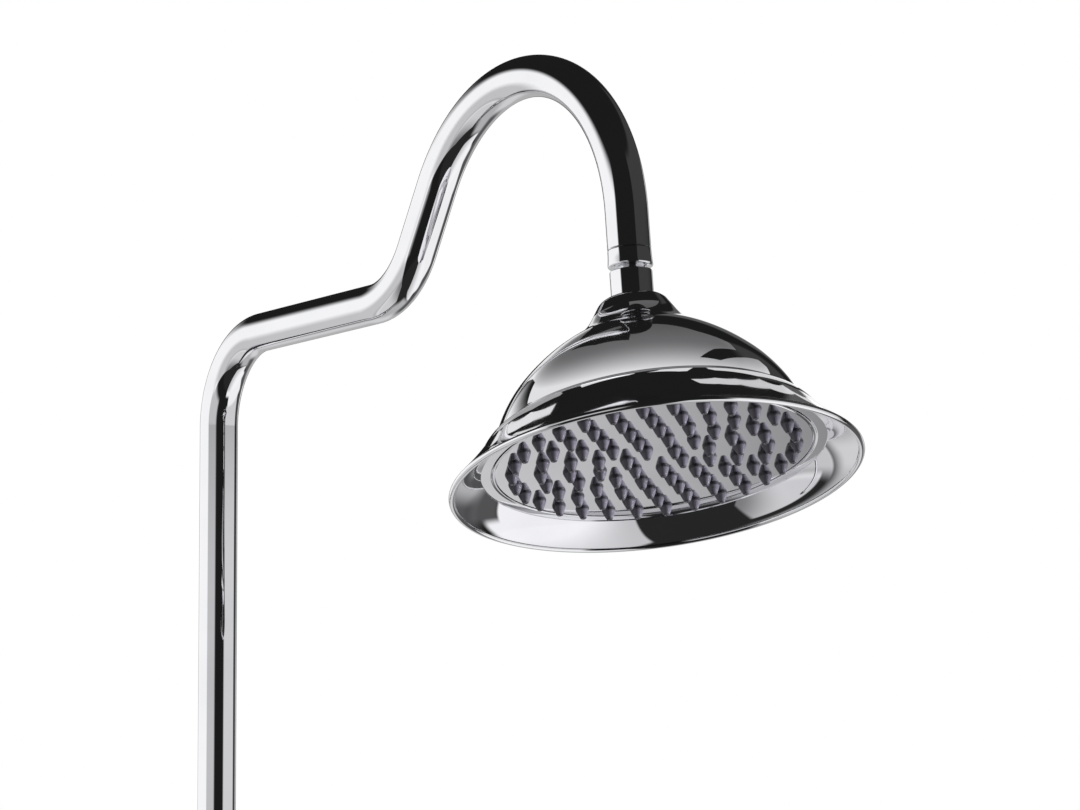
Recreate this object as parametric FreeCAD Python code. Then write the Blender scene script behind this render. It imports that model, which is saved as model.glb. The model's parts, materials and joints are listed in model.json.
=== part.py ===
"""Shower column: a rigid riser on a wall bracket, with a gooseneck arm and a bell-shaped rain head.

Millimetres, +Z up. The wall is the plane Y = 0 and the arm reaches out along -Y. The origin is the
centre of the bracket's wall face. The head hangs from a ball joint and is drawn tilted, as it is used.
"""
import FreeCAD, Part
import math
import os

V = FreeCAD.Vector
UP = V(0, 0, 1)
HERE = V(0, 0, 0)

# ---------------------------------------------------------------- general clearances
fit_gap = 0.05            # between coaxial pieces that are pushed, screwed or soldered together
shell_gap = 0.1           # between a shell and what lies behind it
turn_gap = 0.1            # across a face that turns against another
free_gap = 0.3            # between bodies that move past each other

# ---------------------------------------------------------------- riser and gooseneck
tube_r = 11.0             # outer radius of the riser tube
tube_wall = 1.5
standoff = 65.0           # wall face to riser axis
bracket_to_bend = 260.0   # bracket axis up to the start of the first bend
bracket_to_foot = 590.0   # bracket axis down to the tube's lower end
knee_bend_r = 50.0        # riser into the outward run
knee_turn = 90.0
run_length = 122.0
elbow_bend_r = 50.0       # outward run into the rise
elbow_turn = 58.0
rise_length = 38.0
arch_r = 95.0             # over the top and down to the head
arch_turn = 142.0
drop_length = 20.0

# ---------------------------------------------------------------- nipple and swivel ball
nipple_plug = 12.0        # nipple length inside the tube
collar_length = 8.5
collar_flare = 0.6        # how far the collar's foot stands proud of the tube
collar_round = 1.0
thread_r = 8.33           # parallel pipe thread, size 3/8
thread_shown = 2.5        # bare thread between collar and barrel
thread_depth = 12.5       # depth of the barrel's socket
nipple_bore_r = 5.5
barrel_r = 10.75
barrel_edge = 0.5         # chamfer at the barrel's mouth
barrel_length = 20.5      # ball centre up to the barrel's mouth
ball_r = 12.75
ball_cut = 10.0           # ball centre down to its flat foot
ball_bore_r = 4.5
seal_thickness = 1.5
screen_thickness = 0.5
screen_hole_r = 0.6
regulator_r = 6.5
regulator_length = 3.4
regulator_seat = 4.0      # depth of the regulator's pocket
regulator_hole_r = 1.5
bush_wall = 1.0
bush_length = 12.0
bush_flange_r = 6.0
bush_flange = 0.9

# ---------------------------------------------------------------- ball housing in the neck
housing_r = 16.0
housing_hex = 34.0        # across flats
housing_hex_top = 10.0    # ball centre down to the top of the hexagon
housing_thread_r = 14.4
housing_thread = 10.0
ball_clearance = 0.1
seat_top = 5.0            # ball centre down to the seat's upper edge
seat_depth = 9.5          # ball centre down to the end of the seat's hollow
seat_foot = 12.0          # ball centre down to the seat's foot
seat_ring_r = 0.95        # section radius of the rubber ring under the seat
feed_bore_r = 6.0
feed_r = 8.5

# ---------------------------------------------------------------- head: lean, bell and curl
lean_out = 15.2           # head axis from the vertical, away from the wall
lean_side = 2.3           # and sideways, towards -X
neck_bore_r = 12.4
neck_top = 5.1            # ball centre up to the neck's lip
bell_wall = 1.2
lip_flat = 0.8            # flat width of the neck's lip
shoulder_r = 5.9
shoulder_turn = 59.0
neck_length = 6.9
flare_r = 35.0
flare_turn = 30.0
crown_r = 110.0
crown_turn = 18.0
side_r = 69.5
side_turn = 23.6
crease_r = 1.5
crease_turn = 43.6
bead_r = 17.0
bead_turn = 36.0
groove_r = 1.2
groove_turn = 13.0
lip_r = 157.0
lip_turn = 9.0
curl_r = 1.6              # rolled edge of the bell
curl_turn = 240.0

# ---------------------------------------------------------------- head: face, chamber and nozzles
face_rise = 10.0          # centre of the rolled edge up to the visible face
face_thickness = 3.0
face_edge = 0.3
ring_wall = 0.8           # lip ring outside the face
ring_ledge = 1.9          # how far the lip ring reaches under the face
ring_edge = 0.4           # thickness of that ledge at its inner edge
ring_bulge = 0.8          # how far the flared wall of the ring bows out
nozzle_rings = 5
nozzles_first_ring = 6
nozzle_phase = 38.4       # turn of the pattern about the head's axis, degrees
nozzle_base_r = 3.4
nozzle_collar = 0.7        # straight part of a nozzle outside the face
nozzle_waist_r = 2.45
nozzle_waist_at = 3.1      # face to where the nozzle's taper changes
nozzle_tip_r = 1.4
nozzle_length = 5.4
nozzle_bore_r = 0.5
mat_thickness = 2.0
mat_margin = 1.7          # mat beyond the outermost nozzles
chamber_gap = 0.2         # mat to chamber wall
chamber_height = 4.8      # face to chamber ceiling
chamber_wall = 2.0
flange_room = 0.66        # flange to bell
flange_thickness = 3.0
packing_r = 0.75          # section radius of the chamber's rubber ring
boss_wall = 4.45
boss_height = 12.0
boss_floor = 3.0
rib_count = 6
rib_thickness = 2.0
rib_height = 4.0
face_screw_count = 8
face_screw_r = 1.4
face_screw_head_r = 2.4
face_screw_head = 2.0
face_screw_depth = 1.8    # length in the face
face_screw_room = 1.15    # screw heads to bell
washer_thickness = 1.0

# ---------------------------------------------------------------- wall bracket
plate_r = 26.0
plate_thickness = 5.0
socket_r = 12.5           # boss that takes the stem
socket_length = 15.0
stem_r = 8.0
stem_end_gap = 0.5        # wall side clearance behind the stem
wall_hole_count = 3
wall_hole_circle = 38.0   # pitch circle diameter
wall_hole_r = 2.6
wall_sink_r = 5.0
wall_sink = 2.4
grub_r = 2.5
grub_length = 4.4
cover_r = 32.0
cover_wall = 1.4
cover_nose_r = 12.0
cover_nose = 4.0
cover_room = 1.6          # socket's end to the inside of the cover's nose
cover_ring_r = 0.9
liner_wall = 1.25
liner_slit = 2.0
clamp_wall = 4.6
clamp_height = 24.0
clamp_split = 1.0
lug_reach = 20.5          # riser axis to the screws
lug_r = 7.0
lug_depth = 12.0
clamp_screw_r = 2.0
clamp_head_r = 3.5
clamp_head = 4.0
key_r = 1.6
key_depth = 2.0

# ---------------------------------------------------------------- union at the riser's foot
foot_collar_r = 13.0
foot_collar = 4.0
union_thread_r = 13.3     # parallel pipe thread, size 3/4
union_thread = 10.0
union_relief = 0.4
union_hex = 32.0
union_lip = 3.0
union_washer = 2.5
union_washer_bore_r = 8.0


# ================================================================ outlines
def trace(start, heading, moves, shift=0.0):
    """Follow straight and curved moves from start; shift runs parallel to the route, on its right.

    A move is (length,) or (radius, turn), with turn in degrees, positive to the left. Returns the
    segments, as tuples of 2 or 3 points, and the end of the unshifted route with its heading.
    """
    here = start
    segments = []
    for move in moves:
        begin = here
        if len(move) == 1:
            here = ahead(begin, heading, move[0])
            segments.append((beside(begin, heading, shift), beside(here, heading, shift)))
            continue
        radius, turn = move
        side = math.copysign(radius, turn)
        centre = beside(begin, heading, -side)
        middle = beside(centre, heading + turn / 2, side + shift)
        here = beside(centre, heading + turn, side)
        segments.append((beside(begin, heading, shift), middle, beside(here, heading + turn, shift)))
        heading += turn
    return segments, here, heading


def ahead(point, heading, distance):
    """Point at a distance along a heading."""
    angle = math.radians(heading)
    return (point[0] + distance * math.cos(angle), point[1] + distance * math.sin(angle))


def beside(point, heading, distance):
    """Point at a distance to the right of a heading."""
    return ahead(point, heading - 90, distance)


def mid_arc(centre, radius, first, last):
    """Point of an arc halfway between two angles."""
    return ahead(centre, (first + last) / 2, radius)


def radial(point):
    """Radius and height to a point in the XZ plane."""
    return V(point[0], 0, point[1])


def outward(point):
    """Reach from the riser axis and height to a point in the arm's plane."""
    return V(0, -standoff - point[0], point[1])


def edges_of(segments, place):
    """Lines and arcs through the given 2-point and 3-point segments."""
    edges = []
    for segment in segments:
        points = [place(p) for p in segment]
        curve = Part.LineSegment(*points) if len(points) == 2 else Part.Arc(*points)
        edges.append(curve.toShape())
    return edges


def closed(*steps):
    """Segments of a closed outline: a step is a corner, or a pair (point on the arc, end of the arc)."""
    segments = []
    here = steps[0]
    for step in steps[1:] + (steps[0],):
        if isinstance(step[0], tuple):
            segments.append((here, step[0], step[1]))
            here = step[1]
        else:
            segments.append((here, step))
            here = step
    return segments


def spun(segments):
    """Solid of revolution about Z of a closed outline in radius and height."""
    face = Part.Face(Part.Wire(edges_of(segments, radial)))
    return face.revolve(HERE, UP, 360)


def ring(inner, outer, low, high):
    """Plain ring about Z."""
    return spun(closed((inner, low), (outer, low), (outer, high), (inner, high)))


def around(shape, count, phase=0.0):
    """Copies of a shape evenly round Z."""
    copies = []
    for index in range(count):
        copy = shape.copy()
        copy.rotate(HERE, UP, phase + 360.0 * index / count)
        copies.append(copy)
    return copies


def hexagon(across_flats, low, high):
    """Hexagonal prism about Z with both ends chamfered to a round."""
    corner = across_flats / math.sqrt(3)
    points = [V(*ahead((0, 0), 60 * k, corner), low) for k in range(7)]
    prism = Part.Face(Part.makePolygon(points)).extrude(V(0, 0, high - low))
    drop = (corner - across_flats / 2) / math.sqrt(3)
    round_r = across_flats / 2
    barrel = spun(closed((0, low), (round_r, low), (corner, low + drop), (corner, high - drop),
                         (round_r, high), (0, high)))
    return prism.common(barrel)


# ================================================================ frames
riser_moves = [(bracket_to_foot + bracket_to_bend,), (knee_bend_r, -knee_turn), (run_length,),
               (elbow_bend_r, elbow_turn), (rise_length,), (arch_r, -arch_turn), (drop_length,)]
riser_foot = (0.0, -bracket_to_foot)
riser_route, tube_end, drop_heading = trace(riser_foot, 90.0, riser_moves)

collar_drop = barrel_length + thread_shown + collar_length
ball_at = outward(ahead(tube_end, drop_heading, collar_drop))
stem_up = outward(ahead(HERE, drop_heading, -1.0)) - outward((0, 0))
head_up = V(math.tan(math.radians(lean_side)), math.tan(math.radians(lean_out)), 1.0).normalize()
stem_frame = FreeCAD.Placement(ball_at, FreeCAD.Rotation(UP, stem_up))
head_frame = FreeCAD.Placement(ball_at, FreeCAD.Rotation(UP, head_up))
wall_frame = FreeCAD.Placement(HERE, FreeCAD.Rotation(UP, V(0, -1, 0)))

bell_moves = [(lip_flat,), (shoulder_r, -shoulder_turn), (neck_length,), (flare_r, flare_turn),
              (crown_r, -crown_turn), (side_r, -side_turn), (crease_r, crease_turn),
              (bead_r, -bead_turn), (groove_r, groove_turn), (lip_r, lip_turn)]
bell_start = (neck_bore_r, neck_top)
bell_end, bell_heading = trace(bell_start, 0.0, bell_moves)[1:]
curl_at = beside(bell_end, bell_heading, curl_r)


def bell_radius(height, depth):
    """Radius of the surface that lies a depth inside the bell's skin, at a height."""
    for segment in trace(bell_start, 0.0, bell_moves, depth)[0]:
        top = segment[0]
        foot = segment[-1]
        if not foot[1] <= height <= top[1]:
            continue
        if len(segment) == 2:
            return top[0] + (foot[0] - top[0]) * (top[1] - height) / (top[1] - foot[1])
        arc = Part.Arc(*[radial(p) for p in segment])
        level = Part.LineSegment(V(0, 0, height), V(2 * max(top[0], foot[0]), 0, height))
        return arc.intersect(level)[0].X
    return foot[0]


# ================================================================ riser, gooseneck and nipple
def riser_tube():
    """Bent tube, open at both ends."""
    path = Part.Wire(edges_of(riser_route, outward))
    bodies = []
    for radius in (tube_r, tube_r - tube_wall):
        circle = Part.Wire(Part.makeCircle(radius, outward(riser_foot), UP))
        bodies.append(path.makePipeShell([circle], True, False))
    return bodies[0].cut(bodies[1])


def arm_nipple():
    """Threaded end of the arm: a plug soldered in the tube, a flared collar and a male thread."""
    collar_top = collar_drop
    collar_foot = collar_top - collar_length
    foot_r = tube_r + collar_flare
    plug_r = tube_r - tube_wall - fit_gap
    round_at = (foot_r - collar_round, collar_foot + collar_round)
    body = closed((nipple_bore_r, nipple_foot), (thread_r, nipple_foot), (thread_r, collar_foot),
                  (foot_r - collar_round, collar_foot),
                  (mid_arc(round_at, collar_round, -90, 0), (foot_r, collar_foot + collar_round)),
                  (tube_r, collar_top), (plug_r, collar_top), (plug_r, collar_top + nipple_plug),
                  (nipple_bore_r, collar_top + nipple_plug))
    return placed(spun(body), stem_frame)


def placed(shape, frame):
    """The shape moved from its own frame into the row's frame."""
    shape.Placement = frame.multiply(shape.Placement)
    return shape


socket_floor = barrel_length - thread_depth
screen_top = socket_floor + screen_thickness
nipple_foot = screen_top + seal_thickness
pocket_floor = socket_floor - regulator_seat
neck_height = math.sqrt(ball_r ** 2 - barrel_r ** 2)


def swivel_ball():
    """Barrel with a female thread, ending in the ball that the head turns on."""
    foot_r = math.sqrt(ball_r ** 2 - ball_cut ** 2)
    socket_r = thread_r + fit_gap
    pocket_r = regulator_r + fit_gap
    mouth = barrel_length - barrel_edge
    body = closed((ball_bore_r, -ball_cut), (foot_r, -ball_cut),
                  ((ball_r, 0.0), (barrel_r, neck_height)), (barrel_r, mouth),
                  (barrel_r - barrel_edge, barrel_length), (socket_r + barrel_edge, barrel_length),
                  (socket_r, mouth), (socket_r, socket_floor), (pocket_r, socket_floor),
                  (pocket_r, pocket_floor), (ball_bore_r, pocket_floor))
    return placed(spun(body), stem_frame)


def seal_washer():
    """Flat washer that the nipple presses on the screen."""
    return placed(ring(nipple_bore_r, thread_r - fit_gap, screen_top, nipple_foot), stem_frame)


def filter_screen():
    """Perforated disc that keeps grit out of the head."""
    disc = ring(0.0, thread_r - fit_gap, socket_floor, screen_top)
    holes = []
    step = 3 * screen_hole_r
    for layer in (1, 2):
        hole = Part.makeCylinder(screen_hole_r, screen_thickness, V(step * layer, 0, socket_floor))
        holes += around(hole, 6 * layer)
    return placed(disc.cut(holes), stem_frame)


def flow_regulator():
    """Small disc with a throat and a ring of side ports, in the pocket under the screen."""
    disc = ring(regulator_hole_r, regulator_r, pocket_floor, pocket_floor + regulator_length)
    port = Part.makeCylinder(regulator_hole_r / 2, regulator_length,
                             V(regulator_r * 0.6, 0, pocket_floor))
    return placed(disc.cut(around(port, 6)), stem_frame)


def ball_bush():
    """Flanged bush in the ball's bore, free to turn there."""
    outer = ball_bore_r - fit_gap
    inner = outer - bush_wall
    flange_top = -ball_cut - turn_gap
    body = closed((inner, flange_top - bush_flange), (bush_flange_r, flange_top - bush_flange),
                  (bush_flange_r, flange_top), (outer, flange_top),
                  (outer, flange_top + bush_length), (inner, flange_top + bush_length))
    return placed(spun(body), stem_frame)


# ================================================================ ball housing and feed
hollow_r = ball_r + ball_clearance
housing_top = neck_top - bell_wall - shell_gap
seat_ring_at = -seat_foot - seat_ring_r - fit_gap
feed_top = seat_ring_at - seat_ring_r - fit_gap
housing_foot = feed_top - housing_thread


def ball_housing():
    """Nut that holds the ball: a hollow with an inturned lip, a hexagon and a female thread."""
    lip_r_in = math.sqrt(hollow_r ** 2 - housing_top ** 2)
    lip_angle = math.degrees(math.atan2(housing_top, lip_r_in))
    depth = bell_wall + shell_gap
    crown_at = (neck_bore_r + lip_flat, neck_top - shoulder_r)
    crown = shoulder_r - depth
    side = crown_at[0] + crown
    outer_r = min(housing_r, side - shell_gap)
    angle = math.degrees(math.acos((outer_r - crown_at[0]) / crown))
    thread_in = housing_thread_r + fit_gap
    body = closed((thread_in, housing_foot), (outer_r, housing_foot), ahead(crown_at, angle, crown),
                  (mid_arc(crown_at, crown, angle, 90), (crown_at[0], housing_top)),
                  (lip_r_in, housing_top),
                  (mid_arc((0, 0), hollow_r, 0, lip_angle), (hollow_r, 0.0)),
                  (hollow_r, feed_top), (thread_in, feed_top))
    nut = hexagon(housing_hex, housing_foot, -housing_hex_top)
    nut = nut.cut(ring(0.0, (outer_r + hollow_r) / 2 + 1, housing_foot, -housing_hex_top))
    return placed(spun(body).fuse(nut).removeSplitter(), head_frame)


def ball_seat():
    """Slippery ring under the ball."""
    top_r = math.sqrt(hollow_r ** 2 - seat_top ** 2)
    bore_r = math.sqrt(hollow_r ** 2 - seat_depth ** 2)
    outer = hollow_r - turn_gap
    first = math.degrees(math.atan2(-seat_top, top_r))
    last = math.degrees(math.atan2(-seat_depth, bore_r))
    body = closed((bore_r, -seat_foot), (outer, -seat_foot), (outer, -seat_top), (top_r, -seat_top),
                  (mid_arc((0, 0), hollow_r, first, last), (bore_r, -seat_depth)))
    return placed(spun(body), head_frame)


def seat_ring():
    """Rubber ring that pushes the seat up against the ball."""
    middle_r = hollow_r - seat_ring_r - fit_gap
    return placed(Part.makeTorus(middle_r, seat_ring_r, V(0, 0, seat_ring_at)), head_frame)


def feed_tube():
    """Tube from the ball housing down to the water chamber, screwed into both."""
    body = closed((feed_bore_r, feed_foot), (feed_r, feed_foot), (feed_r, housing_foot),
                  (housing_thread_r, housing_foot), (housing_thread_r, feed_top),
                  (feed_bore_r, feed_top))
    return placed(spun(body), head_frame)


def feed_washer():
    """Washer under the feed tube."""
    washer = ring(feed_bore_r, feed_r - fit_gap, boss_seat, boss_seat + washer_thickness)
    return placed(washer, head_frame)


# ================================================================ bell and lip ring
face_foot = curl_at[1] + face_rise
face_top = face_foot + face_thickness
ring_top = face_top - face_edge
face_r = bell_radius(ring_top, bell_wall + shell_gap) - ring_wall - fit_gap
ring_mouth_r = face_r - ring_ledge


def bell_shell():
    """Spun bell of one thickness, with its lower edge rolled in."""
    moves = bell_moves + [(curl_r, -curl_turn)]
    skin = trace(bell_start, 0.0, moves)[0]
    lining = trace(bell_start, 0.0, moves, bell_wall)[0]
    mouth = [(lining[0][0], skin[0][0])]
    edge = [(skin[-1][-1], lining[-1][-1])]
    return placed(spun(mouth + skin + edge + lining), head_frame)


def lip_ring():
    """Flared ring inside the bell's lip, with the ledge that the face rests on."""
    depth = bell_wall + shell_gap
    low = curl_at[1] + curl_r + shell_gap
    middle = (low + ring_top) / 2
    mouth = (ring_mouth_r, face_foot - ring_edge)
    foot = (curl_at[0] - curl_r - shell_gap, curl_at[1])
    half_way = ((mouth[0] + foot[0]) / 2, (mouth[1] + foot[1]) / 2)
    slope = math.degrees(math.atan2(foot[1] - mouth[1], foot[0] - mouth[0]))
    bowed = beside(half_way, slope, ring_bulge)
    body = closed(foot, (bell_radius(low, depth), low),
                  ((bell_radius(middle, depth), middle), (bell_radius(ring_top, depth), ring_top)),
                  (face_r + fit_gap, ring_top), (face_r + fit_gap, face_foot),
                  (ring_mouth_r, face_foot), mouth)
    body[-1] = (mouth, bowed, foot)
    return placed(spun(body), head_frame)


# ================================================================ face, nozzles and water chamber
flange_top = face_top + flange_thickness
flange_r = bell_radius(flange_top, bell_wall + shell_gap) - flange_room
screw_reach = bell_radius(flange_top + face_screw_head, bell_wall + shell_gap) - face_screw_room
face_screw_circle = screw_reach - face_screw_head_r
chamber_r = face_screw_circle - face_screw_head_r - chamber_gap - chamber_wall
mat_r = chamber_r - chamber_gap
nozzle_pitch = (mat_r - mat_margin - nozzle_base_r) / nozzle_rings
ceiling = face_top + chamber_height
boss_seat = ceiling + boss_floor
feed_foot = boss_seat + washer_thickness


def nozzle_places():
    """Centres of the nozzles: rings of 6, 12, 18 and so on, evenly spaced."""
    places = []
    for number in range(1, nozzle_rings + 1):
        count = number * nozzles_first_ring
        for index in range(count):
            angle = nozzle_phase + 360.0 * index / count
            places.append(ahead((0, 0), angle, number * nozzle_pitch))
    return places


def face_plate():
    """Polished round face with a hole for each nozzle and blind holes for the screws behind."""
    body = closed((0, face_foot), (face_r - face_edge, face_foot), (face_r, face_foot + face_edge),
                  (face_r, face_top), (0, face_top))
    holes = []
    for x, y in nozzle_places():
        holes.append(Part.makeCylinder(nozzle_base_r + fit_gap, face_thickness, V(x, y, face_foot)))
    blind = Part.makeCylinder(face_screw_r + fit_gap, face_screw_depth + fit_gap,
                              V(face_screw_circle, 0, face_top - face_screw_depth - fit_gap))
    holes += around(blind, face_screw_count)
    return placed(spun(body).cut(holes), head_frame)


def nozzle_mat():
    """Soft mat whose nozzles stand out through the face, each with its own bore."""
    mat = ring(0.0, mat_r, face_top, face_top + mat_thickness)
    tip = face_foot - nozzle_length
    nozzle = spun(closed((0, tip), (nozzle_tip_r, tip), (nozzle_waist_r, face_foot - nozzle_waist_at),
                         (nozzle_base_r, face_foot - nozzle_collar), (nozzle_base_r, face_top),
                         (0, face_top)))
    bore = Part.makeCylinder(nozzle_bore_r, face_top + mat_thickness - tip, V(0, 0, tip))
    nozzles = []
    bores = []
    for x, y in nozzle_places():
        nozzles.append(nozzle.translated(V(x, y, 0)))
        bores.append(bore.translated(V(x, y, 0)))
    return placed(mat.fuse(nozzles).cut(bores), head_frame)


def chamber_lid():
    """Back of the water chamber: a flanged dish with ribs and the boss for the feed tube."""
    roof = ceiling + chamber_wall
    wall_r = chamber_r + chamber_wall
    boss_r = feed_r + fit_gap + boss_wall
    boss_top = boss_seat + boss_height
    packing_at = packing_circle
    half = packing_r + fit_gap
    body = closed((chamber_r, face_top), (packing_at - half, face_top),
                  (packing_at - half, face_top + 2 * packing_r),
                  (packing_at + half, face_top + 2 * packing_r), (packing_at + half, face_top),
                  (flange_r, face_top), (flange_r, flange_top), (wall_r, flange_top),
                  (wall_r, roof), (boss_r, roof),
                  (boss_r, boss_top), (feed_r + fit_gap, boss_top), (feed_r + fit_gap, boss_seat),
                  (feed_bore_r, boss_seat), (feed_bore_r, ceiling), (chamber_r, ceiling))
    rib_top = roof + rib_height
    rib_face = Part.Face(Part.makePolygon([
        V(boss_r - fit_gap, 0, roof), V(wall_r - chamber_wall, 0, roof),
        V(boss_r + rib_height, 0, rib_top), V(boss_r - fit_gap, 0, rib_top),
        V(boss_r - fit_gap, 0, roof)]))
    rib = rib_face.extrude(V(0, rib_thickness, 0))
    rib.translate(V(0, -rib_thickness / 2, 0))
    hole = Part.makeCylinder(face_screw_r + fit_gap, flange_thickness,
                             V(face_screw_circle, 0, face_top))
    lid = spun(body).fuse(around(rib, rib_count)).cut(around(hole, face_screw_count))
    return placed(lid, head_frame)


packing_circle = chamber_r + chamber_wall - fit_gap


def chamber_packing():
    """Rubber ring between the chamber's flange and the face."""
    return placed(Part.makeTorus(packing_circle, packing_r, V(0, 0, face_top + packing_r)), head_frame)


def face_screws():
    """Screws that hold the chamber to the back of the face."""
    shank = Part.makeCylinder(face_screw_r, flange_thickness + face_screw_depth,
                              V(face_screw_circle, 0, face_top - face_screw_depth))
    head = Part.makeCylinder(face_screw_head_r, face_screw_head, V(face_screw_circle, 0, flange_top))
    return placed(Part.makeCompound(around(shank.fuse(head), face_screw_count)), head_frame)


# ================================================================ wall bracket, drawn along its stem
socket_end = plate_thickness + socket_length
wall_hole_at = wall_hole_circle / 2
socket_floor_y = stem_end_gap + wall_sink
liner_r = tube_r + fit_gap + liner_wall
clamp_bore_r = liner_r + fit_gap
clamp_r = clamp_bore_r + clamp_wall
cover_inside = socket_end + cover_room
cover_end = cover_inside + cover_nose


def wall_plate():
    """Round plate on the wall, with countersunk holes and a socket for the stem."""
    body = closed((0, 0), (plate_r, 0), (plate_r, plate_thickness), (socket_r, plate_thickness),
                  (socket_r, socket_end), (stem_r + fit_gap, socket_end),
                  (stem_r + fit_gap, socket_floor_y), (0, socket_floor_y))
    hole = Part.makeCylinder(wall_hole_r, plate_thickness, V(wall_hole_at, 0, 0))
    sink = Part.makeCone(wall_hole_r, wall_sink_r, wall_sink,
                         V(wall_hole_at, 0, plate_thickness - wall_sink))
    grub_hole = Part.makeCylinder(grub_r + fit_gap, socket_r, grub_at(), V(0, 1, 0))
    cuts = around(hole.fuse(sink), wall_hole_count, 30) + [grub_hole]
    return placed(spun(body).cut(cuts), wall_frame)


def grub_at():
    """Inner end of the grub screw: on the stem's skin, half way along the socket."""
    return V(0, stem_r, plate_thickness + socket_length / 2)


def grub_screw():
    """Set screw that locks the stem in the wall plate."""
    screw = Part.makeCylinder(grub_r, grub_length, grub_at(), V(0, 1, 0))
    key = Part.makeCylinder(key_r, key_depth, grub_at() + V(0, grub_length - key_depth, 0), V(0, 1, 0))
    return placed(screw.cut(key), wall_frame)


def cover_flange():
    """Domed cover that hides the wall plate and slides along the stem."""
    dome = cover_r - cover_nose_r
    dome_at = (cover_nose_r, cover_end - dome)
    lining = dome - cover_wall
    angle = math.degrees(math.asin((cover_inside - dome_at[1]) / lining))
    hole_r = stem_r + free_gap
    groove_r = stem_r + 2 * (fit_gap + cover_ring_r)
    groove_half = cover_ring_r + fit_gap
    groove_at = cover_inside + cover_nose / 2
    body = closed((cover_r - cover_wall, turn_gap), (cover_r, turn_gap), (cover_r, dome_at[1]),
                  (mid_arc(dome_at, dome, 0, 90), (cover_nose_r, cover_end)),
                  (hole_r, cover_end), (hole_r, groove_at + groove_half),
                  (groove_r, groove_at + groove_half), (groove_r, groove_at - groove_half),
                  (hole_r, groove_at - groove_half), (hole_r, cover_inside),
                  ahead(dome_at, angle, lining),
                  (mid_arc(dome_at, lining, 0, angle), (cover_r - cover_wall, dome_at[1])))
    return placed(spun(body), wall_frame)


def cover_ring():
    """Rubber ring in the cover's nose that grips the stem."""
    middle = stem_r + fit_gap + cover_ring_r
    at = V(0, 0, cover_inside + cover_nose / 2)
    return placed(Part.makeTorus(middle, cover_ring_r, at), wall_frame)


def clamp_block():
    """Both halves of the clamp in one: a drum round the riser with a lug on each side."""
    drum = Part.makeCylinder(clamp_r, clamp_height, V(0, -standoff, -clamp_height / 2))
    web = Part.makeBox(2 * lug_reach, lug_depth, 2 * lug_r,
                       V(-lug_reach, -standoff - lug_depth / 2, -lug_r))
    lugs = []
    for side in (-1, 1):
        lugs.append(Part.makeCylinder(lug_r, lug_depth, V(side * lug_reach, -standoff - lug_depth / 2, 0),
                                      V(0, 1, 0)))
    return drum.fuse([web] + lugs).removeSplitter()


def clamp_room():
    """Space of the riser's liner inside the clamp."""
    return Part.makeCylinder(clamp_bore_r, clamp_height, V(0, -standoff, -clamp_height / 2))


def half_space(front):
    """Block on one side of the clamp's split, towards the wall or away from it."""
    reach = clamp_r + lug_reach
    near = -standoff + clamp_split / 2
    if front:
        near = -standoff - clamp_split / 2 - reach
    return Part.makeBox(2 * reach, reach, 2 * reach, V(-reach, near, -reach))


def screw_pair(radius, near, far):
    """A cylinder in each lug, between two distances from the riser's axis towards the front."""
    pair = []
    for side in (-1, 1):
        pair.append(Part.makeCylinder(radius, far - near, V(side * lug_reach, -standoff - near, 0),
                                      V(0, -1, 0)))
    return pair


head_seat = lug_depth / 2 - clamp_head


def bracket_stem():
    """Stem with the rear half of the clamp."""
    rear = clamp_block().common(half_space(False))
    rod_end = -standoff + clamp_bore_r + clamp_wall / 2
    rod = Part.makeCylinder(stem_r, -socket_floor_y - rod_end, V(0, -socket_floor_y, 0), V(0, -1, 0))
    threads = screw_pair(clamp_screw_r + fit_gap, -lug_depth / 2, 0)
    return rear.fuse(rod).cut([clamp_room()] + threads).removeSplitter()


def clamp_cap():
    """Front half of the clamp, with sunk seats for the screw heads."""
    cap = clamp_block().common(half_space(True))
    holes = screw_pair(clamp_screw_r + fit_gap, 0, lug_depth)
    seats = screw_pair(clamp_head_r + fit_gap, head_seat, lug_depth)
    return cap.cut([clamp_room()] + holes + seats)


def clamp_screws():
    """Socket-head screws that close the clamp."""
    shanks = screw_pair(clamp_screw_r, -lug_depth / 2 + clamp_split, head_seat)
    heads = screw_pair(clamp_head_r, head_seat, lug_depth / 2)
    keys = screw_pair(key_r, lug_depth / 2 - key_depth, lug_depth / 2)
    screws = []
    for shank, head, key in zip(shanks, heads, keys):
        screws.append(shank.fuse(head).cut(key))
    return Part.makeCompound(screws)


def clamp_liner():
    """Slit sleeve between the riser and the clamp."""
    sleeve = ring(tube_r + fit_gap, liner_r, -clamp_height / 2, clamp_height / 2)
    slit = Part.makeBox(2 * liner_r, liner_slit, clamp_height,
                        V(0, -liner_slit / 2, -clamp_height / 2))
    sleeve = sleeve.cut(slit)
    sleeve.translate(V(0, -standoff, 0))
    return sleeve


# ================================================================ union at the foot
foot_frame = FreeCAD.Placement(outward(riser_foot), FreeCAD.Rotation())


def foot_collar_ring():
    """Collar soldered round the tube's foot, which the union nut pulls on."""
    return placed(ring(tube_r + fit_gap, foot_collar_r, 0.0, foot_collar), foot_frame)


def union_nut():
    """Hexagonal nut that hangs on the foot collar and turns freely."""
    lip_foot = foot_collar + turn_gap
    low = -union_washer - union_thread
    high = lip_foot + union_lip
    relief_r = union_thread_r + union_relief
    bore = spun(closed((0, low), (union_thread_r, low), (union_thread_r, -union_washer),
                       (relief_r, -union_washer), (relief_r, lip_foot),
                       (tube_r + free_gap, lip_foot), (tube_r + free_gap, high), (0, high)))
    return placed(hexagon(union_hex, low, high).cut(bore), foot_frame)


def union_washer_ring():
    """Rubber washer under the tube's foot."""
    outer = foot_collar_r - fit_gap
    return placed(ring(union_washer_bore_r, outer, -union_washer, 0.0), foot_frame)


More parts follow.
